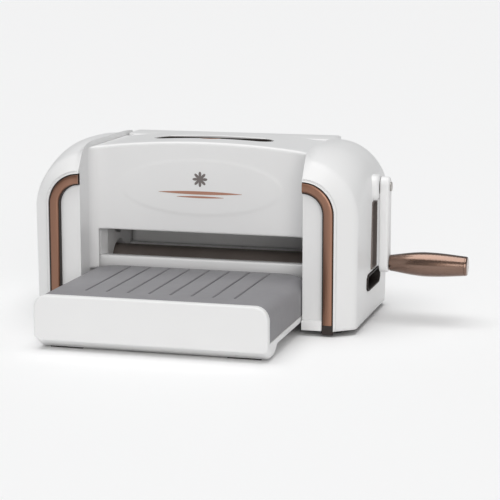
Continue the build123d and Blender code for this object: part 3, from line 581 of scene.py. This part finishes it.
def trim_piece(side, end, name):
    """A crowned band over a dark bed, both swept up the side and round the arc of the column's front. The dark bed
    is painted shadow: seen through the groove's gap, it stands for the shade round the band.

    Section (inset n, depth d): a rounded loop; path: (outer - n, z), then (cx + (R - n) cos a,
    cz + (R - n) sin a) for a from 0 to 90 degrees.
    """
    depth = FACE_Y - TRIM_BACK_Y
    near, far = TRIM_INSET, TRIM_WIDTH - TRIM_INSET
    section = np.array([
        (near, depth), (near, 1.6 * MM), (near + 0.35 * MM, 0.6 * MM), (near + 1.2 * MM, 0.1 * MM),
        (near + 2.6 * MM, -0.15 * MM), (TRIM_WIDTH / 2, -0.25 * MM), (far - 2.6 * MM, -0.15 * MM),
        (far - 1.2 * MM, 0.1 * MM), (far - 0.35 * MM, 0.6 * MM), (far, 1.6 * MM), (far, depth),
    ])
    # Painted shadow: a dark bed a little wider than the band, seen in the groove's gap as the shade round the
    # trim.
    shadow_bed_near, shadow_bed_far, shadow_bed_top, shadow_bed_bottom = -0.6 * MM, TRIM_WIDTH + 0.6 * MM, 1.4 * MM, 5.4 * MM
    shadow_bed = np.array([(shadow_bed_near, shadow_bed_bottom), (shadow_bed_near, shadow_bed_top), (shadow_bed_far, shadow_bed_top), (shadow_bed_far, shadow_bed_bottom)])
    shadow_bed_piece = rings_piece(f"{name}_bed", trim_rings(side, end, shadow_bed, TRIM_BOTTOM - 8 * MM), 50.0)
    finished(shadow_bed_piece, "base", "dark_plastic", DARK_PLASTIC_AND_SHADE)
    piece = rings_piece(f"{name}_band", trim_rings(side, end, section, TRIM_BOTTOM), 50.0)
    return finished(piece, "base", "copper_trim", COPPER, name)


def trim_rings(side, end, section, bottom):
    """Rings of a section (inset, depth) carried up the side and round the arc to the inner wall."""
    inset, depth = section.T[:, None, :]
    centre_z = TRIM_TOP - TRIM_RADIUS
    z = steps((bottom, 12), (centre_z, 1))[:, None]
    angle = np.linspace(0, math.pi / 2, 25)[1:, None]
    reach = TRIM_RADIUS - inset
    straight = np.stack([TRIM_OUTER - inset + 0 * z, FACE_Y - depth + 0 * z, z + 0 * inset], -1)
    curved = np.stack([COLUMN_INNER + reach * np.cos(angle), FACE_Y - depth + 0 * angle,
                       centre_z + reach * np.sin(angle)], -1)
    return np.concatenate([straight, curved]) * np.array([side, end, 1])


for side, side_name in ((-1, "left"), (1, "right")):
    column_casing(side, side_name)
    column_sills(side, side_name)
    for end, end_name in ((-1, "front"), (1, "rear")):
        trim_piece(side, end, f"{side_name}_{end_name}_trim")


def hub_pad():
    """The raised pad round the crank shaft: rounded rectangles stacked along X, bored in two steps."""
    half_width, half_height, edge = 16 * MM, 13.5 * MM, 4 * MM
    loop = rounded_rectangle(half_width, -half_height, half_height, 11 * MM, 11 * MM, 12)
    angle = np.arctan2(loop[:, 1], loop[:, 0])
    middle = np.array([CRANK[1], CRANK[2] - 1.2 * MM])
    axis = np.array([CRANK[1], CRANK[2]])
    root_x, bush_x, outer_x = 158 * MM, 181.05 * MM, arm_low[0] - 0.25 * MM
    washer_bore, bush_bore = 10.4 * MM, 9.02 * MM
    rings = [along_x(loop * 1.04 + middle, root_x), along_x(loop + middle, outer_x - edge)]
    for turn in np.linspace(0, math.pi / 2, 8)[1:]:
        shrink = 1 - edge * (1 - math.cos(turn)) / half_height
        rings.append(along_x(loop * shrink + middle, outer_x - edge * (1 - math.sin(turn))))
    for radius, x in ((washer_bore, outer_x), (washer_bore, bush_x), (bush_bore, bush_x), (bush_bore, root_x)):
        bore = radius * np.stack([np.cos(angle), np.sin(angle)], -1)
        rings.append(along_x(bore + axis, x))
    piece = rings_piece("crank_hub_pad", rings, ends="joined")
    return finished(piece, "base", "white_shell", WHITE)


hub_pad()


# ---------------------------------------------------------------------------
# Centre shell with the carry handle's opening
# ---------------------------------------------------------------------------
SHELL_HALF = shell_high[0]
PANEL_Y = 52 * MM
COVE_ACROSS = 24 * MM
COVE_DEPTH = 12 * MM
CENTRE_TOP = shell_high[2]
CENTRE_SIDE_TOP = 183.5 * MM
TOP_RADIUS = (SHELL_HALF**2 + (CENTRE_TOP - CENTRE_SIDE_TOP) ** 2) / (2 * (CENTRE_TOP - CENTRE_SIDE_TOP))
SLOT_TOP = 94.8 * MM
SLOT_HALF = 113.5 * MM
POST_BOTTOM = shell_low[2]
PANEL_EDGE = 3.5 * MM
HANDLE_HALF = (66 * MM, 15 * MM)
OVAL_Z = 143 * MM
OVAL_HALF = (90 * MM, 30 * MM)
OVAL_HEIGHT = 0.5 * MM


def top_z(x):
    """Height of the arched top: a circle through the middle and both ends."""
    return CENTRE_TOP - TOP_RADIUS + np.sqrt(TOP_RADIUS**2 - x**2)


def panel_out(x):
    """How far the panel stands from the middle: flat, then a quarter-ellipse cove into each column."""
    past = np.clip((np.abs(x) - (SHELL_HALF - COVE_ACROSS)) / COVE_ACROSS, 0, 1)
    return PANEL_Y + COVE_DEPTH * (1 - np.sqrt(1 - past**2))


def centre_shell():
    """Front panel, arched top and rear panel as one grid across X, open where the handle's cup sits.

    Section at X: up the front at -panel_out(x), a quarter circle of the edge radius, over the top at
    top_z(x), and down the rear. The handle's opening pushes the top down, and the oval field on the
    front panel stands out by a smooth step of the ellipse's distance.
    """
    cove = SHELL_HALF - COVE_ACROSS * (1 - np.sin(np.linspace(0, math.pi / 2, 22)))
    flat = steps((-94 * MM, 12), (-70 * MM, 24), (-50 * MM, 50), (50 * MM, 24), (70 * MM, 12), (94 * MM, 1))
    post = np.array([SLOT_HALF, SLOT_HALF + 0.01 * MM])
    x = np.unique(np.concatenate([-cove, flat, cove, -post, post]))[:, None]
    bottom = np.where(np.abs(x) > SLOT_HALF, POST_BOTTOM, SLOT_TOP)
    out, top = panel_out(x), top_z(x)
    climb = np.linspace(0, 1, 52)[None, :]
    z_front = bottom + (top - PANEL_EDGE - bottom) * climb
    turn = np.linspace(0, math.pi / 2, 9)[None, 1:]
    y_turn = out - PANEL_EDGE + PANEL_EDGE * np.cos(turn)
    z_turn = top - PANEL_EDGE + PANEL_EDGE * np.sin(turn)
    lid = steps((-1.0, 14), (-0.37, 50), (0.37, 14), (1.0, 1))[None, 1:-1]
    y_lid = (out - PANEL_EDGE) * lid
    y = np.concatenate([-out + 0 * z_front, -y_turn, y_lid, y_turn[:, ::-1], out + 0 * z_front], 1)
    z = np.concatenate([z_front, z_turn, top + 0 * y_lid, z_turn[:, ::-1], z_front[:, ::-1]], 1)
    xx = x + 0 * y
    on_top = np.abs(y) < out - PANEL_EDGE - 0.1 * MM
    opening = recess(stadium_distance(xx, y, *HANDLE_HALF), 1.4 * MM, 24 * MM)
    z = z - np.where(on_top, opening, 0)
    oval = 1 - np.hypot(xx / OVAL_HALF[0], (z - OVAL_Z) / OVAL_HALF[1])
    raised = OVAL_HEIGHT * blend_step(oval, -0.03, 0.05)
    y = y - np.where((y < 0) & ~on_top, raised, 0)
    points = np.stack([xx, y, z], -1)
    faces = np.array(grid_faces(*points.shape[:2]))
    in_opening = (on_top & (stadium_distance(xx, y, *HANDLE_HALF) < 0)).ravel()
    faces = faces[~in_opening[faces].all(axis=1)][:, ::-1].tolist()
    piece = mesh_piece("centre_shell_skin", points, faces, 32.0)
    thick = piece.modifiers.new("wall", "SOLIDIFY")
    thick.thickness = WALL
    thick.offset = -1
    return finished(piece, "base", "white_shell", WHITE, "centre_shell")


def handle_cup():
    """The cup below the handle's opening: stadiums stacked up the outside and then down the inside.

    Each is (inset, distance) in millimetres; the distance is up from the bottom, or down from the
    arched top for those of the rim.
    """
    def ring(inset, distance, rim):
        loop = stadium(HANDLE_HALF[0] - inset * MM, HANDLE_HALF[1] - inset * MM, 64)
        level = top_z(loop[:, 0]) - distance * MM if rim else np.full(len(loop), handle_low[2] + distance * MM)
        return np.stack([loop[:, 0], loop[:, 1], level], -1)
    outside = [ring(inset, up, False) for inset, up in ((1.2, 0), (0.4, 0.4), (0.2, 1.2))]
    rim = [ring(inset, down, True) for inset, down in ((0.2, 1.6), (0.5, 1.0), (1.4, 1.0), (1.9, 1.5))]
    inside = [ring(inset, up, False) for inset, up in ((2.4, 6), (3.4, 3.2), (5, 2.0))]
    piece = rings_piece("handle_cup", outside + rim + inside)
    # The cup is drawn in dark plastic as painted shade: its darkness stands for the shadow deep in the handle's
    # opening.
    return finished(piece, "base", "dark_plastic", DARK_PLASTIC_AND_SHADE, "handle_pocket")


def handle_lens():
    """The lens on the front rim of the handle's opening: a low dome over a shape of one straight side."""
    half, reach = 12 * MM, 6 * MM
    radius = (half**2 + reach**2) / (2 * reach)
    start = math.asin(half / radius)
    arc = np.linspace(-start, start, 25)
    loop = np.stack([radius * np.sin(arc), -HANDLE_HALF[1] - (radius * np.cos(arc) - radius + reach)], -1)
    middle = np.array([0, -HANDLE_HALF[1] - 2.4 * MM])
    rings = []
    for share, rise in ((1.0, -1.2), (1.0, 0.1), (0.96, 0.3), (0.8, 0.45), (0.4, 0.55)):
        flat = middle + (loop - middle) * share
        rings.append(np.stack([flat[:, 0], flat[:, 1], top_z(flat[:, 0]) + rise * MM], -1))
    return finished(rings_piece("handle_lens", rings), "base", "copper_trim", COPPER, "handle_inlay")


centre_shell()
handle_cup()
handle_lens()


# ---------------------------------------------------------------------------
# Ledges, rollers, crank and grip
# ---------------------------------------------------------------------------
def ledge_piece(end, name):
    """The ledge's section in (Y, Z) swept across the machine.

    Two quarter circles round the top edges, and the trough for the tray's barrel is an arc about
    the hinge: (hy - R cos a, hz + R sin a).
    """
    front, back, top, bottom = 48.8 * MM, 37 * MM, ledge_high[2], ledge_low[2]
    trough = 30.6 * MM
    hinge_y, hinge_z = -FRONT_HINGE[1], FRONT_HINGE[2]
    edge = 2.5 * MM
    turn = np.linspace(0, math.pi / 2, 7)[:, None]
    half_open = math.acos((hinge_y - front) / trough)
    sweep = np.linspace(half_open, -half_open, 16)[:, None]
    loop = np.concatenate([
        [(back, bottom)],
        np.hstack([back + edge - edge * np.cos(turn), top - edge + edge * np.sin(turn)]),
        np.hstack([front - edge + edge * np.sin(turn), top - edge + edge * np.cos(turn)]),
        np.hstack([hinge_y - trough * np.cos(sweep), hinge_z + trough * np.sin(sweep)]),
        [(front, bottom)],
    ]) * np.array([end, 1])
    half = ledge_high[0]
    piece = rings_piece(f"{name}_body", [along_x(loop, x) for x in (-half, half)])
    return finished(piece, "base", "white_shell", WHITE, name)


for end, end_name in ((-1, "front"), (1, "rear")):
    ledge_piece(end, f"{end_name}_ledge")


def roller_piece(name, centre):
    """A turned roller: (x, radius) steps with small chamfers, revolved about its axis."""
    face, edge, chamfer = 18 * MM, 124 * MM, 0.8 * MM
    journal, gear_seat = 10 * MM, 8 * MM
    left_end, gear_start, right_end = -134 * MM, 137 * MM, 153 * MM
    profile = [(left_end, journal - 0.6 * MM), (left_end + 0.6 * MM, journal), (-edge, journal)]
    profile += [(-edge, face - chamfer), (-edge + chamfer, face)]
    profile += [(x, face) for x in np.linspace(-edge + 4 * MM, edge - 4 * MM, 9)]
    profile += [(edge - chamfer, face), (edge, face - chamfer), (edge, journal)]
    profile += [(gear_start, journal), (gear_start, gear_seat)]
    profile += [(right_end - 0.6 * MM, gear_seat), (right_end, gear_seat - 0.6 * MM)]
    piece = rings_piece(f"{name}_turned", turned_x(profile, centre, 72))
    return finished(piece, f"{name}_set", "bright_steel", ROLLER_STEEL, name)


roller_piece("upper_roller", UPPER_ROLLER)
roller_piece("lower_roller", LOWER_ROLLER)


def crank_arm():
    """The arm: upright stadiums stacked along X with both edges rounded."""
    half_length, half_width = (arm_high[2] - arm_low[2]) / 2, (arm_high[1] - arm_low[1]) / 2
    middle = np.array([(arm_low[1] + arm_high[1]) / 2, (arm_low[2] + arm_high[2]) / 2])
    rings = []
    for radius, x, way in ((1.0 * MM, arm_low[0], -1), (3.0 * MM, arm_high[0], 1)):
        turns = np.linspace(0, math.pi / 2, 7)
        for turn in turns[::-1] if way < 0 else turns:
            inset = radius * (1 - math.cos(turn))
            loop = stadium(half_length - inset, half_width - inset, 56)[:, ::-1] + middle
            rings.append(along_x(loop, x - way * radius * (1 - math.sin(turn))))
    return finished(rings_piece("crank_arm_body", rings), "crank", "white_shell", WHITE, "crank_arm")


def grip():
    """The barrel-shaped sleeve, bored for the spindle, and its end cap.

    Radius along the sleeve: root + (belly - root) sin^1.15 up to the middle, then an eased cosine
    fall to the tip.
    """
    start, finish = sleeve_low[0], sleeve_high[0]
    share = np.linspace(0, 1, 33)
    root, belly, tip = 8.6 * MM, 13.0 * MM, 10.4 * MM
    rise = np.sin(np.clip(share / 0.5, 0, 1) * math.pi / 2) ** 1.15
    fall = 0.5 - 0.5 * np.cos(np.clip((share - 0.5) / 0.5, 0, 1) * math.pi / 2 * 1.25)
    radius = root + (belly - root) * rise - (belly - tip) * fall / fall[-1]
    bore = 4.1 * MM
    profile = [(start, bore), (start, root - 0.8 * MM), (start + 0.3 * MM, root - 0.2 * MM)]
    profile += list(zip(start + 0.8 * MM + (finish - start - 0.8 * MM) * share, radius))
    profile += [(finish, bore)]
    rings = turned_x(profile, GRIP)
    piece = rings_piece("grip_sleeve_body", rings, 40.0, ends="joined")
    finished(piece, "grip", "rose_gold_grip", ROSE_GOLD, "grip_sleeve")
    end = cap_high[0]
    profile = [(finish, 8 * MM), (finish, 10.0 * MM), (finish + 0.3 * MM, tip), (end - 1.4 * MM, 10.2 * MM),
               (end - 0.7 * MM, 9.9 * MM), (end - 0.2 * MM, 9.2 * MM), (end, 8 * MM), (end, 1 * MM)]
    piece = rings_piece("grip_cap_body", turned_x(profile, GRIP))
    finished(piece, "grip", "rose_gold_grip", ROSE_GOLD, "grip_end_cap")


crank_arm()
grip()


# ---------------------------------------------------------------------------
# Trays
# ---------------------------------------------------------------------------
TRAY_HALF = skin_high[0]
TRAY_FRONT = -skin_low[1]
LIP_TOP = 55.7 * MM
LIP_BACK = TRAY_FRONT - 8 * MM
LIP_EDGE = 11.4 * MM
PLATE_BOTTOM = 12.5 * MM
PLATE_TOP = 19 * MM
FOOT_Z = 1.6 * MM
LIP_CORNER = 13.5 * MM
HINGE_Y = -FRONT_HINGE[1]
HINGE_Z = FRONT_HINGE[2]
BARREL = 29.6 * MM
DECK_BACK = 53.2 * MM
DECK_TOP = 55.5 * MM
REAR_CORNER = 16 * MM
RIB_COUNT = 8
RIB_SPACING = 22.1 * MM


def folded(rings, end):
    """Rings of the rear tray turned a quarter turn up about its hinge: (y, z) to (hy - dz, hz + dy)."""
    rings = np.asarray(rings, float)
    if end < 0:
        return rings
    y, z = rings[..., 1] - HINGE_Y, rings[..., 2] - HINGE_Z
    return np.stack([rings[..., 0], HINGE_Y - z, HINGE_Z + y], -1)


def tray_skin(end, end_name, name):
    """Lip, plate and foot bar: rounded rectangles stacked along Y, with rounded front edges.

    The foot bar is the low stretch of the underside, between a short slope to the lip and a longer
    one to the plate. The front edges follow a quarter circle: inset r (1 - sin a) at r (1 - cos a).
    """
    def ring(y, low, high, inset, low_corner, high_corner):
        loop = rounded_rectangle(TRAY_HALF - inset, low + inset, high - inset, low_corner, high_corner)
        return along_y(loop, end * y)
    edge, low_corner, foot_front = 2.2 * MM, 6 * MM, 211 * MM
    rings = []
    for turn in np.linspace(0, math.pi / 2, 7):
        inset = edge * (1 - math.sin(turn))
        y = TRAY_FRONT - edge * (1 - math.cos(turn))
        low = LIP_EDGE - 1.5 * MM * math.sin(turn)
        rings.append(ring(y, low, LIP_TOP, inset, low_corner - inset, LIP_CORNER - inset))
    slope = (LIP_EDGE - FOOT_Z) / (TRAY_FRONT - foot_front)
    for y in (222.5 * MM, LIP_BACK + 0.8 * MM):
        low = LIP_EDGE - slope * (TRAY_FRONT - y)
        rings.append(ring(y, low, LIP_TOP, 0, low_corner, LIP_CORNER))
    low = LIP_EDGE - slope * (TRAY_FRONT - LIP_BACK)
    rings.append(ring(LIP_BACK, low, LIP_TOP - 0.8 * MM, 0, low_corner, LIP_CORNER))
    rings.append(ring(LIP_BACK, low, PLATE_TOP, 0, low_corner, 1 * MM))
    underside = [(foot_front, FOOT_Z, low_corner), (209.5 * MM, FOOT_Z, low_corner),
                 (199 * MM, FOOT_Z, low_corner), (197 * MM, FOOT_Z + 0.8 * MM, low_corner),
                 (186 * MM, PLATE_BOTTOM - 0.6 * MM, 3 * MM), (184 * MM, PLATE_BOTTOM, 1.5 * MM),
                 (78.5 * MM, PLATE_BOTTOM, 1.5 * MM)]
    for y, low, corner in underside:
        rings.append(ring(y, low, PLATE_TOP, 0, corner, 1 * MM))
    piece = rings_piece(f"{name}_body", folded(rings, end))
    return finished(piece, f"{end_name}_tray", "white_shell", WHITE, name)


def tray_deck(end, name):
    """The deck: rounded rectangles stacked along Y, its back rounded in plan and about the hinge.

    Behind the back edge the top and bottom follow z = hinge +- sqrt(barrel^2 - (y - hinge)^2). The
    front tray's deck is grey and ribbed; the rear tray's is white and plain.
    """
    rings = []
    front = LIP_BACK - 0.3 * MM
    corner_start = DECK_BACK + REAR_CORNER
    forward = [(front, 0.5 * MM), (front - 0.5 * MM, 0)]
    forward += [(y, 0) for y in np.linspace(front - 3 * MM, 79 * MM, 10)]
    for y, inset in forward:
        loop = rounded_rectangle(TRAY_HALF - inset, PLATE_TOP + 0.3 * MM, DECK_TOP - inset, 1 * MM, LIP_CORNER)
        rings.append(along_y(loop, end * y))
    back = HINGE_Y - BARREL + 0.4 * MM
    corner = corner_start - REAR_CORNER * np.sin(np.linspace(0, math.pi / 2, 14))
    barrel = np.linspace(DECK_BACK, back, 16)[1:]
    for y in np.concatenate([[78 * MM, corner_start + 2 * MM], corner, barrel]):
        past = np.clip(corner_start - y, 0, REAR_CORNER)
        half = TRAY_HALF - REAR_CORNER + math.sqrt(REAR_CORNER**2 - past**2)
        swing = math.sqrt(max(BARREL**2 - (HINGE_Y - y) ** 2, 1e-8))
        high = min(DECK_TOP, HINGE_Z + swing) if y < DECK_BACK + 1e-6 else DECK_TOP
        low = max(PLATE_BOTTOM + 0.1 * MM, HINGE_Z - swing)
        room = (high - low) / 2
        loop = rounded_rectangle(half, low, high, min(1 * MM, room * 0.4), min(LIP_CORNER, room * 0.9))
        rings.append(along_y(loop, end * y))
    piece = rings_piece(f"{name}_body", folded(rings, end), 40.0)
    if end > 0:
        return finished(piece, "rear_tray", "white_shell", WHITE, name)
    finished(piece, "front_tray", "grey_deck", GREY_DECK, name)
    return deck_ribs(name)


def deck_ribs(name):
    """Eight low ribs along the front deck: half-round sections (w s cos a, h s sin a) along Y.

    The size s falls to nothing at both ends as sin t, over a length that follows 1 - cos t.
    """
    start, finish, taper = DECK_BACK + 3 * MM, 191.5 * MM, 1.6 * MM
    half_width, height = 1.5 * MM, 1.0 * MM
    rising = np.linspace(0.15, math.pi / 2, 5)
    falling = rising[::-1]
    y = np.concatenate([start + taper * (1 - np.cos(rising)), finish - taper * (1 - np.cos(falling))])[:, None]
    size = np.sin(np.concatenate([rising, falling]))[:, None]
    turn = np.linspace(0, math.pi, 9)[None, :]
    for index in range(RIB_COUNT):
        x = (index - (RIB_COUNT - 1) / 2) * RIB_SPACING + half_width * size * np.cos(turn)
        z = DECK_TOP - 0.3 * MM + height * size * np.sin(turn)
        rib = rings_piece(f"{name}_rib_{index + 1}", np.stack([x, -y + 0 * turn, z], -1), 60.0)
        # Each rib takes the darker grey: painted shade that stands for the dark line along it.
        finished(rib, "front_tray", "grey_deck", RIB_PAINTED_SHADE)


for end, end_name in ((-1, "front"), (1, "rear")):
    tray_skin(end, end_name, f"{end_name}_tray_skin")
    tray_deck(end, f"{end_name}_tray_deck")


# ---------------------------------------------------------------------------
# Ornament on the front panel
# ---------------------------------------------------------------------------
def ornament():
    """A small eight-petalled rosette in grey and a tapering divider below it in rose gold.

    Petals: radius = r0 + r1 |cos 4a|; divider: half height = h (1 - (x / l)^2).
    """
    out, film = PANEL_Y + 0.45 * MM, 0.25 * MM
    angle = np.linspace(0, 2 * math.pi, 128, endpoint=False)
    reach = (3.2 + 5.0 * np.abs(np.cos(4 * angle))) * MM
    loop = np.stack([reach * np.cos(angle), 152 * MM + reach * np.sin(angle)], -1)
    piece = rings_piece("panel_rosette", [along_y(loop, -out), along_y(loop, -out - film)], 20.0)
    finished(piece, "base", "dark_plastic", INK_GREY)
    for index, (z, length, height) in enumerate(((137.5, 46, 1.6), (133.0, 26, 0.9))):
        across = np.linspace(-1, 1, 33)
        half = height * MM * (1 - across**2) + 0.15 * MM
        loop = np.concatenate([np.stack([across * length * MM, z * MM + half], -1),
                               np.stack([across * length * MM, z * MM - half], -1)[::-1]])
        rings = [along_y(loop, -out), along_y(loop, -out - film)]
        finished(rings_piece(f"panel_divider_{index + 1}", rings, 20.0), "base", "copper_trim", INK_ROSE)


ornament()


# ---------------------------------------------------------------------------
# Floor, light and camera
# ---------------------------------------------------------------------------
FLOOR_HALF = 60.0
floor_mesh = bpy.data.meshes.new("floor")
floor_corners = FLOOR_HALF * np.array([(-1, -1, 0), (1, -1, 0), (1, 1, 0), (-1, 1, 0)])
floor_mesh.from_pydata(floor_corners.tolist(), [], [(0, 1, 2, 3)])
floor = bpy.data.objects.new("floor", floor_mesh)
bpy.context.scene.collection.objects.link(floor)
floor_mesh.materials.append(surface("pale_paper_sweep", "FAFAFA", 0.8)[0])

world = bpy.data.worlds.new("studio")
world.use_nodes = True
world.node_tree.nodes["Background"].inputs["Color"].default_value = (0.97, 0.985, 1.0, 1)
world.node_tree.nodes["Background"].inputs["Strength"].default_value = 0.26
bpy.context.scene.world = world
bpy.context.scene.view_settings.view_transform = "Standard"


def soft_light(name, towards, share, spread, colour):
    """Broad even light from a direction; share is what it adds to a white surface that faces it."""
    lamp = bpy.data.lights.new(name, "SUN")
    lamp.angle = math.radians(spread)
    lamp.energy = share * math.pi
    lamp.color = colour
    holder = bpy.data.objects.new(name, lamp)
    x, y, z = towards
    holder.rotation_euler = (math.atan2(math.hypot(x, y), z), 0, math.atan2(y, x) + math.pi / 2)
    bpy.context.scene.collection.objects.link(holder)


soft_light("overhead", (-0.05, -0.05, 1.0), 0.64, 60, (1.0, 1.0, 1.0))
soft_light("front_right", (0.34, -0.86, 0.26), 0.32, 40, (1.0, 0.98, 0.96))

camera_data = bpy.data.cameras.new("camera")
camera_data.lens = 122.1
camera_data.sensor_width = 36
camera = bpy.data.objects.new("camera", camera_data)
camera.location = (0.5219, -1.7506, 0.3926)
camera.rotation_euler = (math.radians(79.9), 0, math.radians(15.38))
bpy.context.scene.collection.objects.link(camera)
bpy.context.scene.camera = camera
